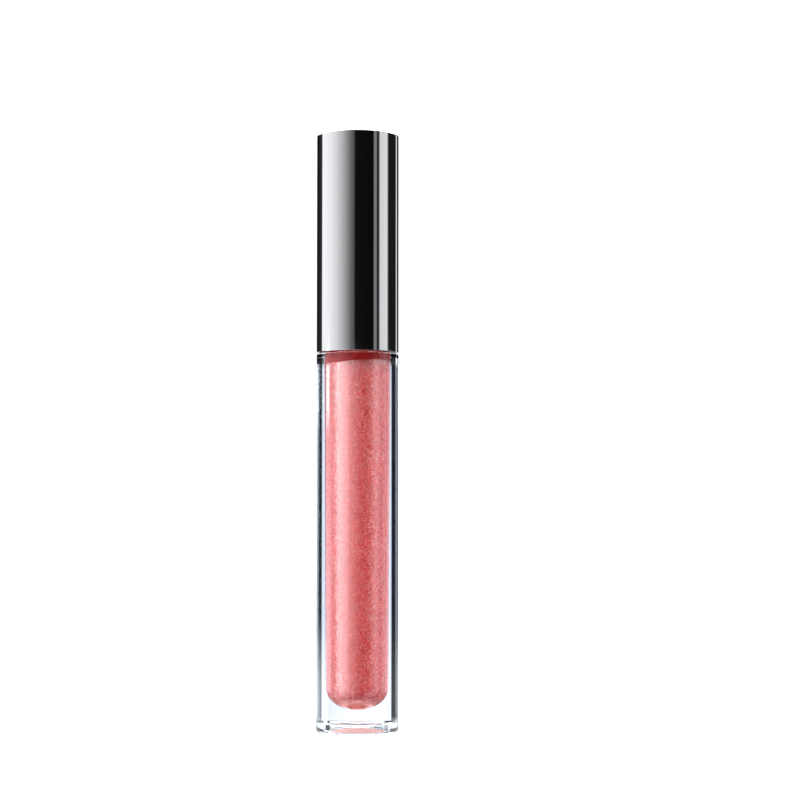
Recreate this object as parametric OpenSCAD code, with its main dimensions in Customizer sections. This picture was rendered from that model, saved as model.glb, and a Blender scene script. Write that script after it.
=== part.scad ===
/* [Tube] */
// Outside diameter of the tube and of the cap
tube_d = 16.4; // [15:0.1:18]
// Height of the clear body, from the base to the shoulder
body_h = 75.1; // [72:0.1:80]
// Diameter of the bore where it meets its round bottom
bore_d = 8.3; // [8:0.1:8.6]
// Diameter of the bore at the neck: it opens upward, for the moulding core's draft
bore_top_d = 8.8; // [8.7:0.1:9]
// Thickness of the clear base under the gloss
base_t = 4.5; // [3.5:0.1:6]
// Edge radius at the bottom of the tube
base_edge_r = 0.6; // [0.3:0.1:1]
// Diameter of the recess in the base
recess_d = 11; // [10:0.1:11.4]
// Depth of the recess in the base
recess_h = 2.05; // [1.6:0.05:2.4]
// Diameter of the round boss that stands down in the recess
boss_d = 7; // [5:0.1:8]
// Height of the boss's face above the plane the tube stands on
boss_z = 1.25; // [0.8:0.05:1.4]
// Height of the gloss above the base
fill_z = 74; // [60:0.5:74]

/* [Neck and thread] */
// Outside diameter of the neck between its threads
neck_d = 11; // [10.8:0.1:11.4]
// Height of the neck above the shoulder
neck_h = 12.4; // [12:0.1:12.6]
// Rise of the cap in one full turn
pitch = 2; // [1.8:0.1:2.2]
// Turns of thread on the neck, and again in the cap
thread_turns = 1.5; // [1.2:0.1:1.5]
// How far a thread stands out
thread_h = 0.6; // [0.4:0.05:0.7]

/* [Cap] */
// Height of the cap
cap_h = 43.9; // [40:0.1:50]
// Gap between the shoulder and the cap's rim
rim_gap = 0.2; // [0.2:0.05:0.4]
// Wall of the metal shell
shell_t = 0.55; // [0.4:0.05:0.8]
// Edge radius at the closed end of the cap
cap_edge_r = 0.3; // [0.2:0.1:1]
// Height of the weight in the closed end
weight_h = 9; // [4:0.5:10]

/* [Applicator] */
// Diameter of the wand
stem_d = 3.9; // [3.6:0.1:3.9]
// How far the applicator reaches below the cap's rim
reach = 65; // [60:0.1:66]
// Length of the flocked tip
tip_h = 11.8; // [10:0.1:12]
// Widest diameter of the flocked tip
tip_d = 4.8; // [4.5:0.1:4.8]
// Diameter at the waist of the tip
waist_d = 3.2; // [2.8:0.1:3.6]
// Thickness of the flocking
flock_t = 0.35; // [0.2:0.05:0.5]

/* [Hidden] */
$fn = 48;

// Small gaps: between glued or pressed parts, and between parts that turn or slide
press_gap = 0.02;
run_gap = 0.05;
loose_gap = 0.1;
arc_steps = 6;
dome_steps = 16;
eps = 0.5;

tube_r = tube_d / 2;
bore_r = bore_d / 2;
bore_top_r = bore_top_d / 2;
neck_r = neck_d / 2;
neck_z = body_h + neck_h;
shoulder_edge_r = 0.3;
recess_r = recess_d / 2;
boss_r = boss_d / 2;

// The shallow seat round the recess's mouth, which holds the label flush over the recess
seat_w = 0.5;
seat_d = 0.25;
seat_r = recess_r + seat_w;
label_t = 0.12;
label_gap = 0.1;

// The wiper: a sleeve in the neck's bore, with a flange on the neck's lip and a ring that wipes the wand
flange_r = 5.2;
flange_t = 0.8;
flange_z = neck_z + flange_t;
sleeve_r = 3.5;
lip_r = stem_d / 2 + run_gap;
lip_z = 78.7;
lip_h = 0.6;
funnel_h = 2.3;
taper_h = 1.5;

// The passage for the tip down through the gloss
tip_gap = 0.3;
well_r = tip_d / 2 + tip_gap;
well_gap = 0.6;

// The cap, closed
rim_z = body_h + rim_gap;
cap_z = rim_z + cap_h;
shell_r = tube_r - shell_t;
head_t = 0.8;
rim_edge_r = 0.1;
liner_r = shell_r - press_gap;
thread_gap = 0.15;
liner_bore_r = neck_r + thread_h + thread_gap;
liner_inset = 0.25;
washer_t = 0.9;
washer_gap = 0.05;
washer_inset = 0.2;
washer_r = neck_r - washer_inset;
washer_hole_r = stem_d / 2 + loose_gap;
seat_z = flange_z + washer_t + washer_gap;
web_t = 2;
liner_t = 1.2;
cup_r = liner_r - liner_t;
socket_r = 3.4;
socket_h = 8.5;
socket_cap_t = 0.8;
rib_n = 4;
rib_t = 0.8;
rib_h = 6;
rib_bury = 0.4;
weight_z = cap_z - head_t - washer_gap - weight_h;
weight_gap = 0.2;
weight_r = shell_r - weight_gap;
weight_hole_r = 1.5;
weight_chamfer = 0.5;
liner_z = weight_z - washer_gap;

// The wand: the stem is pressed into the socket, and its bead holds the loose washer
stem_r = stem_d / 2;
stem_top_z = seat_z + web_t + socket_h - socket_cap_t - press_gap;
tip_z = rim_z - reach;
stem_z = tip_z + tip_h;
travel = pitch * thread_turns;
bead_r = 2.45;
bead_h = 0.6;
bead_z = flange_z - travel - washer_gap - bead_h;
stalk_r = 1.1;
stalk_h = 4.8;

// Threads: both are right-hand, and the cap's thread lies midway between the neck's turns when closed
thread_z = 79.1;
cap_thread_z = thread_z + pitch / 2;
thread_root_w = 1;
thread_tip_w = 0.45;
cap_thread_root_w = 0.7;
cap_thread_tip_w = 0.35;
thread_bury = 0.3;
thread_steps = 48;
runout_turns = 0.12;

// Points of an arc about (x, z), from angle a to angle b
function arc(x, z, r, a, b, n = arc_steps) =
    [for (i = [0:n]) [x + r * cos(a + (b - a) * i / n), z + r * sin(a + (b - a) * i / n)]];

// A smooth step from 0 to 1
function ease(t) = (1 - cos(180 * t)) / 2;

// How far a thread has grown at turn t: it runs out over a short stretch at each end
function grown(t, turns) = ease(min(1, t / runout_turns, (turns - t) / runout_turns));

// A helical thread whose section is widest where it is buried in its wall.
// wall_r is the wall that carries it, and side is 1 for a thread that stands outward, or -1 for inward.
module thread(wall_r, side, z, turns, root_w, tip_w, start) {
    n = round(turns * thread_steps);
    rings = [for (i = [0:n])
        let (
            t = i * turns / n,
            a = start + 360 * t,
            g = grown(t, turns),
            r_root = wall_r - side * thread_bury,
            r_tip = wall_r + side * (thread_h * g - thread_bury / 2 * (1 - g)),
            r_in = min(r_root, r_tip),
            r_out = max(r_root, r_tip),
            w_in = side > 0 ? root_w : tip_w,
            w_out = side > 0 ? tip_w : root_w
        )
        for (p = [[r_in, -w_in / 2], [r_out, -w_out / 2], [r_out, w_out / 2], [r_in, w_in / 2]])
            [p[0] * cos(a), p[0] * sin(a), z + pitch * t + p[1]]];
    sides = [for (i = [0:n - 1], j = [0:3])
        let (a = 4 * i + j, b = 4 * i + (j + 1) % 4)
        each [[a, b, a + 4], [b, b + 4, a + 4]]];
    ends = [[0, 2, 1], [0, 3, 2], [4 * n, 4 * n + 1, 4 * n + 2], [4 * n, 4 * n + 2, 4 * n + 3]];
    polyhedron(rings, concat(sides, ends));
}

// The outside of the tip, h above its end: a round head, a waist and a bulge that closes on the stem
head_h = tip_d / 2;
waist_h = 5.8;
bulge_h = 10.3;
bulge_inset = 0.05;
bulge_r = tip_d / 2 - bulge_inset;
brim_w = 0.1;
neck_in_r = stem_r + brim_w;
function tip_r(h) =
    h < head_h ? head_h * sqrt(1 - pow(1 - h / head_h, 2))
    : h < waist_h ? head_h + (waist_d / 2 - head_h) * ease((h - head_h) / (waist_h - head_h))
    : h < bulge_h ? waist_d / 2 + (bulge_r - waist_d / 2) * ease((h - waist_h) / (bulge_h - waist_h))
    : neck_in_r + (bulge_r - neck_in_r) * cos(90 * (h - bulge_h) / (tip_h - bulge_h));

// The tip's solid, skin thinner all round: skin is 0 for the flocking's outside
dish_r = 4;
dish_depth = 0.9;
dish_rise = 0.3;
axis_r = 0.2;
module tip_form(skin) {
    rows = 24;
    crowding = 1.3;
    translate([0, 0, tip_z])
        difference() {
            rotate_extrude()
                polygon(concat(
                    [[0, skin]],
                    [for (i = [1:rows])
                        let (h = tip_h * pow(i / rows, crowding))
                        [max(axis_r, tip_r(h) - skin), skin + (tip_h - skin) * h / tip_h]],
                    [[0, tip_h]]
                ));
            translate([0, -head_h + dish_depth - dish_r, head_h + dish_rise])
                sphere(r = dish_r + skin);
        }
}

module bottle() {
    color([0.86, 0.9, 0.96, 0.35])
        union() {
            rotate_extrude()
                polygon(concat(
                    [[0, boss_z], [boss_r, boss_z], [boss_r, recess_h], [recess_r, recess_h]],
                    [[recess_r, seat_d], [seat_r, seat_d], [seat_r, 0]],
                    arc(tube_r - base_edge_r, base_edge_r, base_edge_r, -90, 0),
                    arc(tube_r - shoulder_edge_r, body_h - shoulder_edge_r, shoulder_edge_r, 0, 90),
                    [[neck_r, body_h], [neck_r, neck_z], [bore_top_r, neck_z], [bore_top_r, body_h]],
                    arc(0, base_t + bore_r, bore_r, 0, -90, dome_steps)
                ));
            thread(neck_r, 1, thread_z, thread_turns, thread_root_w, thread_tip_w, 0);
        }
}

module wiper() {
    color("whitesmoke")
        rotate_extrude()
            polygon([
                [lip_r, lip_z],
                [bore_top_r - press_gap, lip_z + taper_h],
                [bore_top_r - press_gap, neck_z],
                [flange_r, neck_z],
                [flange_r, flange_z],
                [sleeve_r, flange_z],
                [sleeve_r, lip_z + lip_h + funnel_h],
                [lip_r, lip_z + lip_h]
            ]);
}

module gloss() {
    gloss_r = bore_r - press_gap;
    gloss_z = base_t + press_gap;
    draft = (bore_top_r - bore_r) / (body_h - base_t - bore_r);
    gloss_top_r = gloss_r + draft * (fill_z - base_t - bore_r);
    color([0.86, 0.42, 0.42])
        rotate_extrude()
            polygon(concat(
                [[0, tip_z - well_gap], [0, gloss_z]],
                arc(0, gloss_z + gloss_r, gloss_r, -90, 0, dome_steps),
                [[gloss_top_r, fill_z], [well_r, fill_z], [well_r, tip_z - well_gap]]
            ));
}

module base_label() {
    color("white")
        translate([0, 0, seat_d - label_t])
            cylinder(h = label_t, r = seat_r - label_gap);
}

module seal_washer() {
    color("gainsboro")
        translate([0, 0, flange_z])
            difference() {
                cylinder(h = washer_t, r = washer_r);
                translate([0, 0, -eps])
                    cylinder(h = washer_t + 2 * eps, r = washer_hole_r);
            }
}

module cap_weight() {
    color("slategray")
        rotate_extrude()
            polygon([
                [weight_hole_r, weight_z],
                [weight_r - weight_chamfer, weight_z],
                [weight_r, weight_z + weight_chamfer],
                [weight_r, weight_z + weight_h - weight_chamfer],
                [weight_r - weight_chamfer, weight_z + weight_h],
                [weight_hole_r, weight_z + weight_h]
            ]);
}

module cap_shell() {
    color("silver")
        rotate_extrude()
            polygon(concat(
                [[shell_r, rim_z]],
                arc(tube_r - rim_edge_r, rim_z + rim_edge_r, rim_edge_r, -90, 0),
                arc(tube_r - cap_edge_r, cap_z - cap_edge_r, cap_edge_r, 0, 90),
                [[0, cap_z], [0, cap_z - head_t], [shell_r, cap_z - head_t]]
            ));
}

module inner_cap() {
    web_z = seat_z + web_t;
    hole_r = stem_r + press_gap;
    color("ivory")
        union() {
            rotate_extrude()
                polygon([
                    [liner_bore_r, rim_z + liner_inset],
                    [liner_r, rim_z + liner_inset],
                    [liner_r, liner_z],
                    [cup_r, liner_z],
                    [cup_r, web_z],
                    [socket_r, web_z],
                    [socket_r, web_z + socket_h],
                    [0, web_z + socket_h],
                    [0, stem_top_z + press_gap],
                    [hole_r, stem_top_z + press_gap],
                    [hole_r, seat_z],
                    [liner_bore_r, seat_z]
                ]);
            for (i = [0:rib_n - 1])
                rotate([0, 0, (i + 0.5) * 360 / rib_n])
                    translate([socket_r - rib_bury, -rib_t / 2, web_z - rib_bury])
                        cube([cup_r - socket_r + 2 * rib_bury, rib_t, rib_h + rib_bury]);
            thread(liner_bore_r, -1, cap_thread_z, thread_turns, cap_thread_root_w, cap_thread_tip_w, 0);
        }
}

module wand_stem() {
    color("white")
        difference() {
            union() {
                translate([0, 0, stem_z])
                    cylinder(h = stem_top_z - stem_z, r = stem_r);
                translate([0, 0, bead_z])
                    cylinder(h = bead_h, r = bead_r);
            }
            translate([0, 0, stem_z - eps])
                cylinder(h = stalk_h + press_gap + eps, r = stalk_r + press_gap);
        }
}

module tip_core() {
    color("lightpink")
        union() {
            tip_form(flock_t);
            translate([0, 0, stem_z - eps])
                cylinder(h = stalk_h + eps, r = stalk_r);
        }
}

module tip_flock() {
    color([0.8, 0.33, 0.33])
        difference() {
            tip_form(0);
            tip_form(flock_t);
        }
}

bottle();
wiper();
gloss();
base_label();
seal_washer();
cap_weight();
cap_shell();
inner_cap();
wand_stem();
tip_core();
tip_flock();
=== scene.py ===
import math

import bmesh
import bpy
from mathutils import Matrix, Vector, noise as solid_noise


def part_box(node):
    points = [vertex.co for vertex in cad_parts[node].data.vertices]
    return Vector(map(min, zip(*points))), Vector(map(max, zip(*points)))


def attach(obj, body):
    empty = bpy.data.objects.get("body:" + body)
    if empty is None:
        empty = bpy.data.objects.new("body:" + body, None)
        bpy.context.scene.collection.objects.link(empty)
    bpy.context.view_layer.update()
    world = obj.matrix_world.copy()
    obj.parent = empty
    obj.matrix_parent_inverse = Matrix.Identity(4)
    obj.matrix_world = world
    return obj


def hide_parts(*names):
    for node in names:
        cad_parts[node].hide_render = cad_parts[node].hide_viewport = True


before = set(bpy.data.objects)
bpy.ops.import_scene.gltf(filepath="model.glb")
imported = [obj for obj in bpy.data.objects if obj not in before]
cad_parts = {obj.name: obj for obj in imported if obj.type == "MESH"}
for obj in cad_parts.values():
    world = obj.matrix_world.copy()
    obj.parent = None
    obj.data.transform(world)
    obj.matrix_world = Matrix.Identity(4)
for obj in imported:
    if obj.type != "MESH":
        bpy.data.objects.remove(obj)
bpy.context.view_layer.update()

MM = 0.001

# ---------------------------------------------------------------- sizes, read from the frame
BOTTLE_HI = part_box("bottle")[1]
GLOSS_LO, GLOSS_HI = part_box("gloss")
SHELL_LO, SHELL_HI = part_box("cap_shell")
LABEL_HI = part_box("base_label")[1]
WIPER_LO, WIPER_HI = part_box("wiper")
WASHER_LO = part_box("seal_washer")[0]
STEM_LO, STEM_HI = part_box("wand_stem")
FLOCK_LO, FLOCK_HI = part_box("tip_flock")

TUBE_R = BOTTLE_HI.x
NECK_TOP = BOTTLE_HI.z
RIM_Z = SHELL_LO.z
CAP_TOP = SHELL_HI.z
RIM_GAP = 0.2 * MM
SHOULDER_Z = RIM_Z - RIM_GAP
NECK_R = 5.5 * MM

# The bore: round at its bottom, and a little wider at the neck than where that round ends
PRESS_GAP = 0.02 * MM
BORE_R = 4.15 * MM
BORE_TOP_R = GLOSS_HI.x + PRESS_GAP
BORE_BOTTOM = GLOSS_LO.z - PRESS_GAP
BORE_ROUND_Z = BORE_BOTTOM + BORE_R

# The base: a ring recess round a boss, and a seat that holds the label over them
RECESS_R, RECESS_H = 5.5 * MM, 2.05 * MM
BOSS_R, BOSS_Z = 3.5 * MM, 1.25 * MM
SEAT_R, SEAT_Z = LABEL_HI.x + 0.1 * MM, LABEL_HI.z

# The applicator: its tip, the hollow in the tip's front, its passage through the fluid, and its stem
TIP_R = FLOCK_HI.x
DISH_R, DISH_DEPTH, DISH_RISE = 4 * MM, 0.9 * MM, 0.3 * MM
DISH_OFF = TIP_R - DISH_DEPTH + DISH_R
DISH_Z = FLOCK_LO.z + TIP_R + DISH_RISE
WELL_R = TIP_R + 0.3 * MM
WELL_Z = FLOCK_LO.z - 0.6 * MM
STEM_R = 1.95 * MM

# ---------------------------------------------------------------- mesh helpers


def arc(cx, cz, radius, start, end, steps=8):
    """Points of an arc about (cx, cz), from angle start to angle end, in degrees."""
    points = []
    for i in range(steps + 1):
        a = math.radians(start + (end - start) * i / steps)
        points.append((cx + radius * math.cos(a), cz + radius * math.sin(a)))
    return points


def rows(r0, z0, r1, z1, count):
    """Evenly spaced points from one corner to another, without the last."""
    return [(r0 + (r1 - r0) * i / count, z0 + (z1 - z0) * i / count) for i in range(count)]


def new_object(name, mesh):
    obj = bpy.data.objects.new(name, mesh)
    bpy.context.scene.collection.objects.link(obj)
    return obj


def held(outline, longest=0.5 * MM, inset=0.02 * MM):
    """Adds a point near each end of every long straight stretch, so that smooth shading keeps it flat."""
    points = []
    for (r0, z0), (r1, z1) in zip(outline, outline[1:] + outline[:1]):
        points.append((r0, z0))
        length = math.hypot(r1 - r0, z1 - z0)
        if length > longest:
            for t in (inset / length, 1 - inset / length):
                points.append((r0 + (r1 - r0) * t, z0 + (z1 - z0) * t))
    if outline[0][0] < 1e-9 and outline[-1][0] < 1e-9:
        while points[-1] != outline[-1]:
            points.pop()
    return points


def lathe(name, outline, segments=160, closed=True, reshape=None, sharp=30):
    """Turns an outline of (radius, height) about the Z axis. Points on the axis become poles."""
    bm = bmesh.new()
    rings = []
    for r, z in held(outline) if closed else outline:
        if r < 1e-9:
            rings.append([bm.verts.new((0, 0, z))])
            continue
        ring = []
        for k in range(segments):
            a = 2 * math.pi * k / segments
            rr, zz = reshape(r, z, a) if reshape else (r, z)
            ring.append(bm.verts.new((rr * math.cos(a), rr * math.sin(a), zz)))
        rings.append(ring)
    pairs = list(zip(rings, rings[1:]))
    if closed and len(rings[0]) > 1 and len(rings[-1]) > 1:
        pairs.append((rings[-1], rings[0]))
    for low, high in pairs:
        if len(low) == 1 and len(high) == 1:
            continue
        for k in range(segments):
            j = (k + 1) % segments
            corners = [low[k % len(low)], low[j % len(low)], high[j % len(high)], high[k % len(high)]]
            face = []
            for v in corners:
                if v not in face:
                    face.append(v)
            bm.faces.new(face)
    bmesh.ops.recalc_face_normals(bm, faces=bm.faces)
    for f in bm.faces:
        f.smooth = True
    for e in bm.edges:
        if len(e.link_faces) == 2 and e.calc_face_angle(0) > math.radians(sharp):
            e.smooth = False
    mesh = bpy.data.meshes.new(name)
    bm.to_mesh(mesh)
    bm.free()
    return new_object(name, mesh)


# ---------------------------------------------------------------- node helpers


def add(tree, kind, values=None, **settings):
    """Adds a node. values maps input names or numbers to sockets to link, or to constants."""
    n = tree.nodes.new(kind)
    for key, value in settings.items():
        setattr(n, key, value)
    for key, value in (values or {}).items():
        socket = n.inputs[key]
        if isinstance(value, bpy.types.NodeSocket):
            tree.links.new(value, socket)
        else:
            socket.default_value = value
    return n


def ramp(tree, factor, stops):
    """A colour ramp with (position, colour) stops."""
    n = add(tree, "ShaderNodeValToRGB", {"Fac": factor})
    band = n.color_ramp
    while len(band.elements) < len(stops):
        band.elements.new(0.5)
    for element, (position, colour) in zip(band.elements, stops):
        element.position = position
        element.color = (*colour, 1) if len(colour) == 3 else colour
    return n.outputs["Color"]


def math_node(tree, operation, a, b=0.0, clamp=False):
    n = add(tree, "ShaderNodeMath", {0: a, 1: b}, operation=operation)
    n.use_clamp = clamp
    return n.outputs[0]


def vector_node(tree, operation, values):
    return add(tree, "ShaderNodeVectorMath", values, operation=operation).outputs["Vector"]


def new_material(name, **surface):
    """A material with one Principled shader, whose sockets are set from surface."""
    mat = bpy.data.materials.new(name)
    mat.use_nodes = True
    tree = mat.node_tree
    shader = tree.nodes["Principled BSDF"]
    for key, value in surface.items():
        shader.inputs[key.replace("_", " ")].default_value = value
    return mat, tree, shader


def position(tree):
    return add(tree, "ShaderNodeTexCoord").outputs["Object"]


def noise(tree, scale, detail=3.0, rough=0.5, stretch=(1, 1, 1)):
    """Noise in object space, in features per metre."""
    where = add(tree, "ShaderNodeMapping", {"Vector": position(tree), "Scale": stretch}).outputs[0]
    values = {"Vector": where, "Scale": scale, "Detail": detail, "Roughness": rough}
    return add(tree, "ShaderNodeTexNoise", values).outputs["Fac"]


def bump(tree, height, strength, distance):
    values = {"Height": height, "Strength": strength, "Distance": distance}
    return add(tree, "ShaderNodeBump", values).outputs["Normal"]


def remap(tree, value, start, end, low=0.0, high=1.0, kind="LINEAR"):
    """Maps start..end to low..high, and holds the ends."""
    limits = {"Value": value, "From Min": start, "From Max": end, "To Min": low, "To Max": high}
    return add(tree, "ShaderNodeMapRange", limits, interpolation_type=kind).outputs[0]


def span(tree, value, low, high):
    """Maps 0..1 to low..high."""
    return remap(tree, value, 0.0, 1.0, low, high)


def height_above_table(tree):
    return add(tree, "ShaderNodeSeparateXYZ", {0: position(tree)}).outputs[2]


def mix_colour(tree, factor, a, b, blend="MIX"):
    return add(tree, "ShaderNodeMix", {"Factor": factor, "A": a, "B": b}, data_type="RGBA",
               blend_type=blend).outputs["Result"]


# ---------------------------------------------------------------- materials


def clear_wall():
    mat, tree, s = new_material("clear_wall", Base_Color=(0.90, 0.95, 1.0, 1), IOR=1.5,
                                Transmission_Weight=1.0)
    ripple = noise(tree, 90, 2, 0.4, stretch=(1, 1, 0.25))
    tree.links.new(span(tree, noise(tree, 400, 3), 0.0, 0.004), s.inputs["Roughness"])
    tree.links.new(bump(tree, ripple, 0.05, 0.0002), s.inputs["Normal"])
    return mat


def pearl_gloss():
    """Red fluid full of fine mica: each flake is a cell with its own tilt, and it mirrors a pale pink."""
    mat, tree, s = new_material("pearl_gloss", IOR=3.9, Specular_Tint=(1.0, 0.78, 0.74, 1),
                                Coat_Weight=1.0, Coat_Roughness=0.02, Coat_IOR=1.2)
    flakes_per_metre, flake_tilt = 5600.0, 0.22
    # The wall magnifies the fluid sideways by its index, so the flakes are that much narrower.
    squeeze = (1.5, 1.5, 1.0)
    narrow = add(tree, "ShaderNodeMapping", {"Vector": position(tree), "Scale": squeeze}).outputs[0]
    cells = add(tree, "ShaderNodeTexVoronoi", {"Vector": narrow, "Scale": flakes_per_metre}, feature="F1")
    cell = cells.outputs["Color"]
    split = add(tree, "ShaderNodeSeparateColor", {0: cell})
    cloud = noise(tree, 300, 2, 0.5, stretch=(1, 1, 0.3))
    level = math_node(tree, "ADD", math_node(tree, "MULTIPLY", split.outputs[0], 0.93),
                      math_node(tree, "MULTIPLY", cloud, 0.07))
    flakes = [(0.1, (0.62, 0.002, 0.002)), (0.5, (0.88, 0.016, 0.014)), (0.9, (1.0, 0.28, 0.26))]
    tree.links.new(ramp(tree, level, flakes), s.inputs["Base Color"])
    settled = remap(tree, height_above_table(tree), BORE_BOTTOM, BORE_ROUND_Z, 0.15, 0.0)
    rough = math_node(tree, "ADD", span(tree, split.outputs[1], 0.19, 0.25), settled)
    tree.links.new(rough, s.inputs["Roughness"])
    centred = vector_node(tree, "SUBTRACT", {0: cell, 1: (0.5, 0.5, 0.5)})
    lean = vector_node(tree, "SCALE", {0: centred, "Scale": flake_tilt})
    normal = add(tree, "ShaderNodeNewGeometry").outputs["Normal"]
    leaning = vector_node(tree, "ADD", {0: normal, 1: lean})
    tree.links.new(vector_node(tree, "NORMALIZE", {0: leaning}), s.inputs["Normal"])
    return mat


def wet_film():
    """A thin coat of the fluid: deep red, with faint runs and no flakes."""
    mat, tree, s = new_material("wet_film", IOR=1.35, Roughness=0.3)
    runs = noise(tree, 900, 4, 0.6, stretch=(1, 1, 0.4))
    tree.links.new(ramp(tree, runs, [(0.3, (0.58, 0.010, 0.009)), (0.7, (0.80, 0.035, 0.03))]),
                   s.inputs["Base Color"])
    tree.links.new(bump(tree, runs, 0.3, 0.0001), s.inputs["Normal"])
    return mat


def mirror_shell():
    mat, tree, s = new_material("mirror_shell", Base_Color=(0.64, 0.645, 0.65, 1), Metallic=1.0)
    streak = noise(tree, 2500, 4, 0.65, stretch=(1, 1, 0.03))
    tree.links.new(span(tree, streak, 0.02, 0.07), s.inputs["Roughness"])
    wave = noise(tree, 120, 2, 0.5, stretch=(1, 1, 0.2))
    tree.links.new(bump(tree, wave, 0.04, 0.0002), s.inputs["Normal"])
    return mat


def moulded(name, colour, deep, rough, smeared_above=None):
    """A plastic with faint mottling and an eggshell surface. Its top can be smeared with the fluid."""
    mat, tree, s = new_material(name, IOR=1.5)
    body = ramp(tree, noise(tree, 260, 4), [(0.3, deep), (0.7, colour)])
    if smeared_above is not None:
        top = remap(tree, height_above_table(tree), smeared_above, smeared_above + 0.1 * MM)
        smear = math_node(tree, "MULTIPLY", top, span(tree, noise(tree, 700, 3), 0.6, 1.1), clamp=True)
        body = mix_colour(tree, smear, body, (0.5, 0.13, 0.12, 1))
    tree.links.new(body, s.inputs["Base Color"])
    tree.links.new(span(tree, noise(tree, 1500, 3), rough - 0.06, rough + 0.06), s.inputs["Roughness"])
    tree.links.new(bump(tree, noise(tree, 5000, 3), 0.12, 0.00003), s.inputs["Normal"])
    return mat


def turned_steel():
    mat, tree, s = new_material("turned_steel", Metallic=1.0)
    rings = noise(tree, 3000, 4, 0.6, stretch=(0.05, 0.05, 1))
    tree.links.new(ramp(tree, rings, [(0.3, (0.42, 0.43, 0.45)), (0.7, (0.66, 0.67, 0.69))]),
                   s.inputs["Base Color"])
    tree.links.new(span(tree, rings, 0.22, 0.42), s.inputs["Roughness"])
    tree.links.new(bump(tree, rings, 0.2, 0.00002), s.inputs["Normal"])
    return mat


def flocking():
    """Pink fibres, redder between clumps at random, with painted shade in the hollow, and darker towards the
    top where they close on the stem.
    """
    mat, tree, s = new_material("flocking", IOR=1.45, Sheen_Weight=0.1, Coat_Weight=0.3, Coat_Roughness=0.2)
    clump = noise(tree, 1700, 5, 0.65)
    tones = [(0.3, (0.30, 0.015, 0.013)), (0.5, (0.42, 0.05, 0.045)), (0.72, (0.55, 0.15, 0.14))]
    wet = ramp(tree, clump, tones)
    from_dish = add(tree, "ShaderNodeVectorMath", {0: position(tree), 1: (0, -DISH_OFF, DISH_Z)},
                    operation="DISTANCE").outputs["Value"]
    # Painted shade: inside the hollow pressed into the tip's front, the flock is swapped for a copy
    # multiplied by a deep red.
    painted_shade_in_hollow = remap(tree, from_dish, DISH_R + 0.9 * MM, DISH_R + 0.1 * MM, kind="SMOOTHSTEP")
    deep = mix_colour(tree, 1.0, wet, (0.80, 0.40, 0.40, 1), "MULTIPLY")
    flock_with_painted_shade = mix_colour(tree, painted_shade_in_hollow, wet, deep)
    # Darker towards the top, where the tip closes on the stem.
    lip = remap(tree, height_above_table(tree), FLOCK_HI.z - 0.9 * MM, FLOCK_HI.z - 0.4 * MM)
    tree.links.new(mix_colour(tree, lip, flock_with_painted_shade, (0.20, 0.008, 0.008, 1)), s.inputs["Base Color"])
    tree.links.new(span(tree, clump, 0.6, 0.3), s.inputs["Roughness"])
    tree.links.new(bump(tree, noise(tree, 6500, 4, 0.7), 0.5, 0.00008), s.inputs["Normal"])
    return mat


def wand_plastic():
    """Milky white plastic, a little see-through, with a faint pink stain where it dips into the gloss."""
    mat, tree, s = new_material("wand_plastic", IOR=1.5, Subsurface_Weight=0.4, Subsurface_Scale=1.2 * MM,
                                Subsurface_Radius=(1.0, 0.92, 0.86), Coat_Weight=0.3, Coat_Roughness=0.08)
    body = ramp(tree, noise(tree, 260, 4), [(0.3, (0.46, 0.455, 0.445)), (0.7, (0.52, 0.515, 0.505))])
    stain = remap(tree, height_above_table(tree), STEM_LO.z + 0.5 * MM, STEM_LO.z + 9 * MM, 0.35, 0.0)
    runs = math_node(tree, "MULTIPLY", stain, noise(tree, 500, 3, 0.6, stretch=(1, 1, 0.2)))
    tree.links.new(mix_colour(tree, runs, body, (0.60, 0.26, 0.24, 1)), s.inputs["Base Color"])
    tree.links.new(span(tree, noise(tree, 1500, 3), 0.24, 0.36), s.inputs["Roughness"])
    tree.links.new(bump(tree, noise(tree, 4000, 3), 0.1, 0.00003), s.inputs["Normal"])
    return mat


# ---------------------------------------------------------------- pieces


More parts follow.
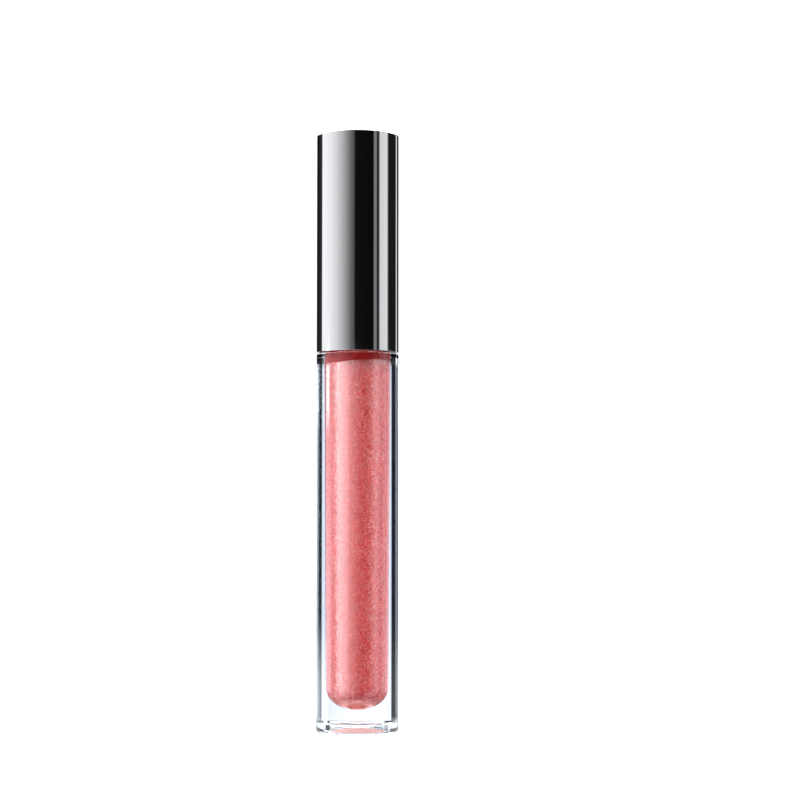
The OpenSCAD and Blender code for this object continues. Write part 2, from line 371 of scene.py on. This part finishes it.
def make_bottle():
    """The clear tube: thick wall, round-bottomed bore, recessed base and a right-hand neck thread."""
    edge, shoulder_edge, lip_edge = 0.6 * MM, 0.3 * MM, 0.2 * MM
    soft, neck_foot, thread_rows = 0.3 * MM, 0.2 * MM, 120
    outline = [(0, BOSS_Z)] + arc(BOSS_R - soft, BOSS_Z + soft, soft, -90, 0, 5)
    outline += arc(BOSS_R + soft, RECESS_H - soft, soft, 180, 90, 5)
    outline += arc(RECESS_R - soft, RECESS_H - soft, soft, 90, 0, 5)
    outline += [(RECESS_R, SEAT_Z), (SEAT_R, SEAT_Z), (SEAT_R, 0.05 * MM), (SEAT_R + 0.05 * MM, 0)]
    outline += arc(TUBE_R - edge, edge, edge, -90, 0, 10)
    outline += arc(TUBE_R - shoulder_edge, SHOULDER_Z - shoulder_edge, shoulder_edge, 0, 90, 6)
    outline += [(NECK_R + neck_foot, SHOULDER_Z)]
    outline += rows(NECK_R, SHOULDER_Z + neck_foot, NECK_R, NECK_TOP - lip_edge, thread_rows)
    outline += arc(NECK_R - lip_edge, NECK_TOP - lip_edge, lip_edge, 0, 90, 4)
    outline += [(BORE_TOP_R, NECK_TOP), (BORE_TOP_R, SHOULDER_Z)]
    outline += arc(0, BORE_ROUND_Z, BORE_R, 0, -90, 28)[:-1] + [(0, BORE_BOTTOM)]

    thread_z, pitch, turns, height = 79.1 * MM, 2 * MM, 1.5, 0.6 * MM
    root, tip, run_out = 1.0 * MM, 0.45 * MM, 0.12

    def threaded(r, z, a):
        if abs(r - NECK_R) > 1e-6 or z < SHOULDER_Z + 0.5 * MM:
            return r, z
        best = 0.0
        for turn in range(3):
            t = turn + a / (2 * math.pi)
            if t > turns:
                continue
            grown = min(1, t / run_out, (turns - t) / run_out)
            off = abs(z - (thread_z + pitch * t))
            flank = (root / 2 - off) / (root / 2 - tip / 2)
            best = max(best, min(1, max(0, flank)) * grown)
        return r + height * best, z

    return lathe("bottle_wall", outline, 192, reshape=threaded)


def bore_at(z):
    """The bore's radius at a height: it opens a little towards the neck, for the moulding core's draft."""
    t = min(1, max(0, (z - BORE_ROUND_Z) / (SHOULDER_Z - BORE_ROUND_Z)))
    return BORE_R + (BORE_TOP_R - BORE_R) * t


def make_gloss():
    """The fluid. It is a hair larger than the bore, so that no air lies between it and the wall."""
    wet, edge = 0.012 * MM, 0.3 * MM
    lean_depth, lean = 5 * MM, 0.5 * MM
    bottom, top = BORE_BOTTOM - wet, GLOSS_HI.z
    low_r, top_r = BORE_R + wet, bore_at(top) + wet
    outline = [(0, bottom)] + arc(0, bottom + low_r, low_r, -90, 0, 40)[1:]
    outline += rows(low_r, bottom + low_r, top_r, top - edge, 60)[1:]
    outline += arc(top_r - edge, top - edge, edge, 0, 90, 6)
    outline += [(WELL_R, top), (WELL_R, WELL_Z), (0, WELL_Z)]

    def surface(r, z, a):
        """The last few millimetres lean: the fluid stands higher on the right."""
        share = max(0, (z - top) / lean_depth + 1)
        return r, z + share * lean * (math.cos(a + 0.5) - 1)

    return lathe("gloss_fluid", outline, 160, reshape=surface)


def make_film():
    """The thin red film that the wand leaves on the bore, from the fluid up to the wiper."""
    wet, thick = 0.006 * MM, 0.25 * MM
    low, high = GLOSS_HI.z - 4 * MM, WIPER_LO.z + 1.2 * MM
    outline = [(bore_at(low) + wet, low), (BORE_TOP_R + wet, SHOULDER_Z), (BORE_TOP_R + wet, high)]
    outline += [(BORE_TOP_R - thick, high), (bore_at(low) - thick, low)]
    return lathe("gloss_film", outline, 160)


def make_shell():
    """The cap's mirror shell, with fine rounds at its rim and its closed end."""
    wall, head, edge, rim = 0.55 * MM, 0.8 * MM, 0.25 * MM, 0.06 * MM
    fillet, chamfer = 0.3 * MM, 0.1 * MM
    inner, ceiling = TUBE_R - wall, CAP_TOP - head
    outline = [(0, ceiling)] + arc(inner - fillet, ceiling - fillet, fillet, 90, 0, 5)
    outline += [(inner, RIM_Z + chamfer), (inner + chamfer, RIM_Z)]
    outline += arc(TUBE_R - rim, RIM_Z + rim, rim, -90, 0, 6)
    outline += arc(TUBE_R - edge, CAP_TOP - edge, edge, 0, 90, 10)
    outline += [(0, CAP_TOP)]
    return lathe("shell_mirror", outline, 256)


def ease(t):
    return (1 - math.cos(math.pi * t)) / 2


def tip_radius(h):
    """The tip's radius, h above its end: a round head, a waist, and a bulge that closes on the stem."""
    waist_h, bulge_h, top_h = 5.8 * MM, 10.3 * MM, FLOCK_HI.z - FLOCK_LO.z
    waist_r, bulge_r, top_r = 1.6 * MM, 2.35 * MM, 2.05 * MM
    if h < TIP_R:
        return TIP_R * math.sqrt(max(0, 1 - (1 - h / TIP_R) ** 2))
    if h < waist_h:
        return TIP_R + (waist_r - TIP_R) * ease((h - TIP_R) / (waist_h - TIP_R))
    if h < bulge_h:
        return waist_r + (bulge_r - waist_r) * ease((h - waist_h) / (bulge_h - waist_h))
    return top_r + (bulge_r - top_r) * math.cos(math.pi / 2 * (h - bulge_h) / (top_h - bulge_h))


def dished(r, z, a, skin):
    """Pulls a point of the tip in to the hollow that is pressed into its front."""
    reach = (DISH_R + skin) ** 2 - (z - DISH_Z) ** 2
    across = -DISH_OFF * math.sin(a)
    inside = reach - DISH_OFF ** 2 + across ** 2
    if across <= 0 or reach <= 0 or inside <= 0:
        return r
    return min(r, max(0.1 * MM, across - math.sqrt(inside)))


def make_flock():
    """The flocking, soaked with gloss: short fibres stuck together in wet clumps, deepest in the hollow."""
    skin, count = 0.34 * MM, 230
    clump_size, fibre_size, deepest = 0.55 * MM, 0.16 * MM, 0.25 * MM
    height = FLOCK_HI.z - FLOCK_LO.z
    steps = [(i / count) ** 1.25 for i in range(1, count + 1)]
    outer = [(tip_radius(height * t), FLOCK_LO.z + height * t) for t in steps]
    inner = []
    for t in steps[::3]:
        inner.append((max(0.1 * MM, tip_radius(height * t) - skin), FLOCK_LO.z + skin + (height - skin) * t))
    outline = [(0, FLOCK_LO.z)] + outer + inner[::-1] + [(0, FLOCK_LO.z + skin)]
    outside = {(round(r * 1e9), round(z * 1e9)) for r, z in outer}

    def clumped(r, z, a):
        if (round(r * 1e9), round(z * 1e9)) not in outside:
            return dished(r, z, a, skin), z
        r = dished(r, z, a, 0)
        p = Vector((r * math.cos(a), r * math.sin(a), z))
        clump = solid_noise.fractal(p / clump_size, 0.7, 2.1, 3)
        fibre = abs(solid_noise.noise(p / fibre_size + Vector((7, 3, 1))))
        inward = 0.07 * MM * (1 - clump) + 0.09 * MM * fibre
        fade = min(1, (z - FLOCK_LO.z) / (0.3 * MM), (FLOCK_HI.z - z) / (0.2 * MM))
        return max(0.05 * MM, r - min(deepest, max(0, inward)) * max(0, fade)), z

    return lathe("flock_wet", outline, 220, reshape=clumped, sharp=75)


def make_wand():
    """The wand: a round stem with a bead that holds the washer, drilled at its end for the tip's stalk."""
    hole_r, hole_h, soft = 1.12 * MM, 4.82 * MM, 0.12 * MM
    bead_r, bead_h, bead_drop = 2.45 * MM, 0.6 * MM, 3.05 * MM
    low, high = STEM_LO.z, STEM_HI.z
    bead = WASHER_LO.z - bead_drop - bead_h
    outline = [(0, low + hole_h), (hole_r, low + hole_h), (hole_r, low)]
    outline += arc(STEM_R - soft, low + soft, soft, -90, 0, 4)
    outline += [(STEM_R, bead)] + arc(bead_r - soft, bead + soft, soft, -90, 0, 4)
    outline += arc(bead_r - soft, bead + bead_h - soft, soft, 0, 90, 4) + [(STEM_R, bead + bead_h)]
    outline += arc(STEM_R - soft, high - soft, soft, 0, 90, 4) + [(0, high)]
    return lathe("wand_moulded", outline, 120)


def stand_for(piece, node, body, mat):
    """Puts a piece in a CAD node's place."""
    piece.data.materials.clear()
    piece.data.materials.append(mat)
    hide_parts(node)
    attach(piece, body)


def paint(node, mat):
    """Gives a CAD node that stays its own material."""
    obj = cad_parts[node]
    obj.data.materials.clear()
    obj.data.materials.append(mat)


stand_for(make_bottle(), "bottle", "tube", clear_wall())
stand_for(make_gloss(), "gloss", "tube", pearl_gloss())
stand_for(make_film(), "gloss", "tube", wet_film())
stand_for(make_shell(), "cap_shell", "cap", mirror_shell())
stand_for(make_wand(), "wand_stem", "cap", wand_plastic())
stand_for(make_flock(), "tip_flock", "cap", flocking())
paint("wiper", moulded("wiper_plastic", (0.58, 0.58, 0.57), (0.5, 0.5, 0.49), 0.4, WIPER_HI.z - 0.15 * MM))
paint("base_label", moulded("label_paper", (0.72, 0.38, 0.31), (0.64, 0.31, 0.25), 0.6))
paint("seal_washer", moulded("washer_foam", (0.56, 0.56, 0.55), (0.48, 0.48, 0.47), 0.8))
paint("inner_cap", moulded("liner_plastic", (0.60, 0.60, 0.58), (0.53, 0.53, 0.51), 0.45))
paint("tip_core", moulded("tip_elastomer", (0.80, 0.50, 0.48), (0.72, 0.42, 0.40), 0.6))
paint("cap_weight", turned_steel())

# ---------------------------------------------------------------- studio

# The studio's brightness, by azimuth in degrees from the camera's side, right positive. The upper boxes are
# the ones that the cap mirrors, and the lower ones are those that the clear body bends into view.
CAP_BOXES = [
    (-180, 0.005), (-150, 0.006), (-120.5, 0.03), (-116.5, 1.0), (-100, 0.97), (-80, 0.88), (-60, 0.69),
    (-20, 0.16), (-9, 0.075), (-6, 0.005), (46, 0.003), (49, 0.22), (55, 0.18), (58, 0.01), (63, 0.02),
    (67, 0.68), (92, 0.74), (97, 0.02), (103, 0.01), (138, 0.01), (140, 0.8), (146, 0.8), (148, 0.01),
    (180, 0.01),
]
BODY_BOXES = [
    (-180, 0.72), (-137, 0.72), (-133.5, 0.003), (-108, 0.004), (-101, 0.01), (-98, 0.3), (-95, 1.5),
    (-76, 1.6), (-60, 1.2), (-24, 0.62), (-22.5, 0.03), (-14.5, 0.03), (-13, 0.45), (2, 0.15), (13, 0.04),
    (25, 0.015), (45, 0.015), (62, 0.04), (75, 0.3), (92, 0.7), (102, 0.6), (109, 0.2), (116, 0.004),
    (132, 0.003), (134.5, 0.75), (147, 0.55), (150, 0.01), (168, 0.4), (180, 0.72),
]
# Above them a ring of soft boxes stands all round, but for the right front.
HIGH_BOXES = [
    (-180, 2.2), (-155, 3.5), (-138, 7.5), (-98, 8.0), (-75, 3.5), (-45, 1.2), (-20, 0.5), (-6, 0.15),
    (8, 0.02), (68, 0.02), (85, 0.8), (98, 5.0), (118, 6.5), (140, 3.0), (165, 1.8), (180, 2.2),
]
# The lit floor behind and to the right rear is seen through the lower part of the tube.
FLOOR_GLOW = [
    (-180, 0.35), (-139, 0.35), (-135, 0.0), (95, 0.0), (102, 0.4), (126, 0.6), (130, 0.35), (147, 0.35),
    (150, 0.9), (168, 0.6), (180, 0.35),
]
# A narrow lamp on the left draws the bright line down the upper glass.
STRIP = [(-180, 0), (-98, 0), (-96.5, 12.0), (-85.5, 12.0), (-84, 0), (180, 0)]
BOX_GAIN = 1.45
DOME = 6.3
ZENITH = 1.4
# Below the floor line the light is even, with a share of the cap's bands for views from above.
UNDERNEATH = (0.19, 0.185, 0.27)
UNDER_BANDS = 0.6

# Where each part of the studio starts and is full, by elevation in degrees
STRIP_FROM = (2.3, 3.6)
CAP_BOXES_FROM = (4.4, 4.6)
HIGH_BOXES_FROM = (13, 24)
DOME_FROM = (24, 32)
ZENITH_FROM = (62, 74)
GLOW_BELOW = (-2.4, -5.0)
UNDER_BELOW = (-11, -20)

CAP_TINT = (0.985, 0.99, 1.01)
BODY_TINT = (0.97, 0.985, 1.03)
BACK_COOLNESS = 0.16
BACK_AZIMUTH = 94
BLACK = (0, 0, 0, 1)


def round_stops(bands, tint=(1, 1, 1), cool=0.0):
    """Ramp stops for brightness by azimuth. With cool above 0, the dim parts of the back turn blue."""
    stops = []
    for azimuth, level in bands:
        bend = cool if abs(azimuth) > BACK_AZIMUTH else 0.0
        colour = tuple(t * level ** p for t, p in zip(tint, (1 + bend, 1, 1 - bend)))
        stops.append(((azimuth + 180) / 360, colour))
    return stops


def height_step(tree, height, start, full):
    """0 at one elevation and 1 at another, both in degrees, and held beyond them."""
    ends = [math.sin(math.radians(angle)) for angle in (start, full)]
    return remap(tree, height, *ends, kind="SMOOTHSTEP")


def studio_world():
    """Soft boxes round the horizon, brighter higher up, with a bright ceiling and a pale floor."""
    world = bpy.data.worlds.new("studio")
    world.use_nodes = True
    tree = world.node_tree
    tree.nodes.clear()
    direction = add(tree, "ShaderNodeTexCoord").outputs["Generated"]
    xyz = add(tree, "ShaderNodeSeparateXYZ", {0: direction})
    height = xyz.outputs[2]
    back = math_node(tree, "MULTIPLY", xyz.outputs[1], -1.0)
    azimuth = math_node(tree, "ARCTAN2", xyz.outputs[0], back)
    turn = math_node(tree, "ADD", math_node(tree, "DIVIDE", azimuth, 2 * math.pi), 0.5)

    def ring(bands, *tinting):
        return ramp(tree, turn, round_stops(bands, *tinting))

    def stacked(below, above, step):
        return mix_colour(tree, height_step(tree, height, *step), below, above)

    cap_side = ring(CAP_BOXES, [BOX_GAIN * t for t in CAP_TINT])
    body_side = ring(BODY_BOXES, [BOX_GAIN * t for t in BODY_TINT], BACK_COOLNESS)
    body_side = mix_colour(tree, 1.0, body_side, stacked(BLACK, ring(STRIP), STRIP_FROM), "ADD")
    sides = stacked(body_side, cap_side, CAP_BOXES_FROM)
    boxes = stacked(sides, ring(HIGH_BOXES), HIGH_BOXES_FROM)
    dome = stacked(boxes, (DOME, DOME, DOME, 1), DOME_FROM)
    upper = stacked(dome, (ZENITH, ZENITH, ZENITH, 1), ZENITH_FROM)
    lit = mix_colour(tree, 1.0, upper, stacked(BLACK, ring(FLOOR_GLOW), GLOW_BELOW), "ADD")
    under = mix_colour(tree, UNDER_BANDS, (*UNDERNEATH, 1), cap_side)
    whole = stacked(lit, under, UNDER_BELOW)
    light = add(tree, "ShaderNodeBackground", {"Color": whole, "Strength": 1.0})
    add(tree, "ShaderNodeOutputWorld", {"Surface": light.outputs[0]})
    bpy.context.scene.world = world


def studio_floor():
    """A pale floor that curves up into a pale wall all round. Only its middle is seen in reflections."""
    mat, tree, s = new_material("studio_floor", IOR=1.4, Specular_IOR_Level=0.1,
                                Emission_Color=(1, 1, 1, 1))
    tree.links.new(ramp(tree, noise(tree, 6, 2), [(0.3, (0.13, 0.13, 0.13)), (0.7, (0.14, 0.14, 0.14))]),
                   s.inputs["Base Color"])
    glow = remap(tree, height_above_table(tree), 0.0, 0.6, 0.72, 0.88)
    tree.links.new(glow, s.inputs["Emission Strength"])
    mat.cycles.emission_sampling = "NONE"
    tree.links.new(span(tree, noise(tree, 30, 2), 0.22, 0.28), s.inputs["Roughness"])
    middle, edge, bend, high, level = 0.036, 1.1, 0.35, 1.6, -0.02 * MM
    disc = lathe("floor_middle", [(0, level), (middle, level)], 96, closed=False)
    sweep = [(middle, level)] + arc(edge - bend, bend, bend, -90, 0, 16) + [(edge, high), (0, high)]
    wall = lathe("floor_sweep", sweep, 96, closed=False)
    for piece in (disc, wall):
        piece.data.materials.append(mat)
    disc.visible_transmission = False
    wall.visible_glossy = False
    wall.visible_transmission = False
    wall.visible_diffuse = False
    wall.visible_shadow = False


def camera():
    """The eye is level with the lower third of the tube and looks slightly up."""
    eye = Vector((8.5 * MM, -400.7 * MM, 41.4 * MM))
    tilt = math.radians(3.33)
    data = bpy.data.cameras.new("camera")
    data.lens, data.sensor_width = 90.2, 36
    data.shift_y = 0.0075
    data.clip_start, data.clip_end = 0.01, 20
    cam = new_object("camera", data)
    cam.location = eye
    cam.rotation_euler = (math.pi / 2 + tilt, 0, 0)
    bpy.context.scene.camera = cam


studio_world()
studio_floor()
camera()
bpy.context.scene.view_settings.view_transform = "Standard"
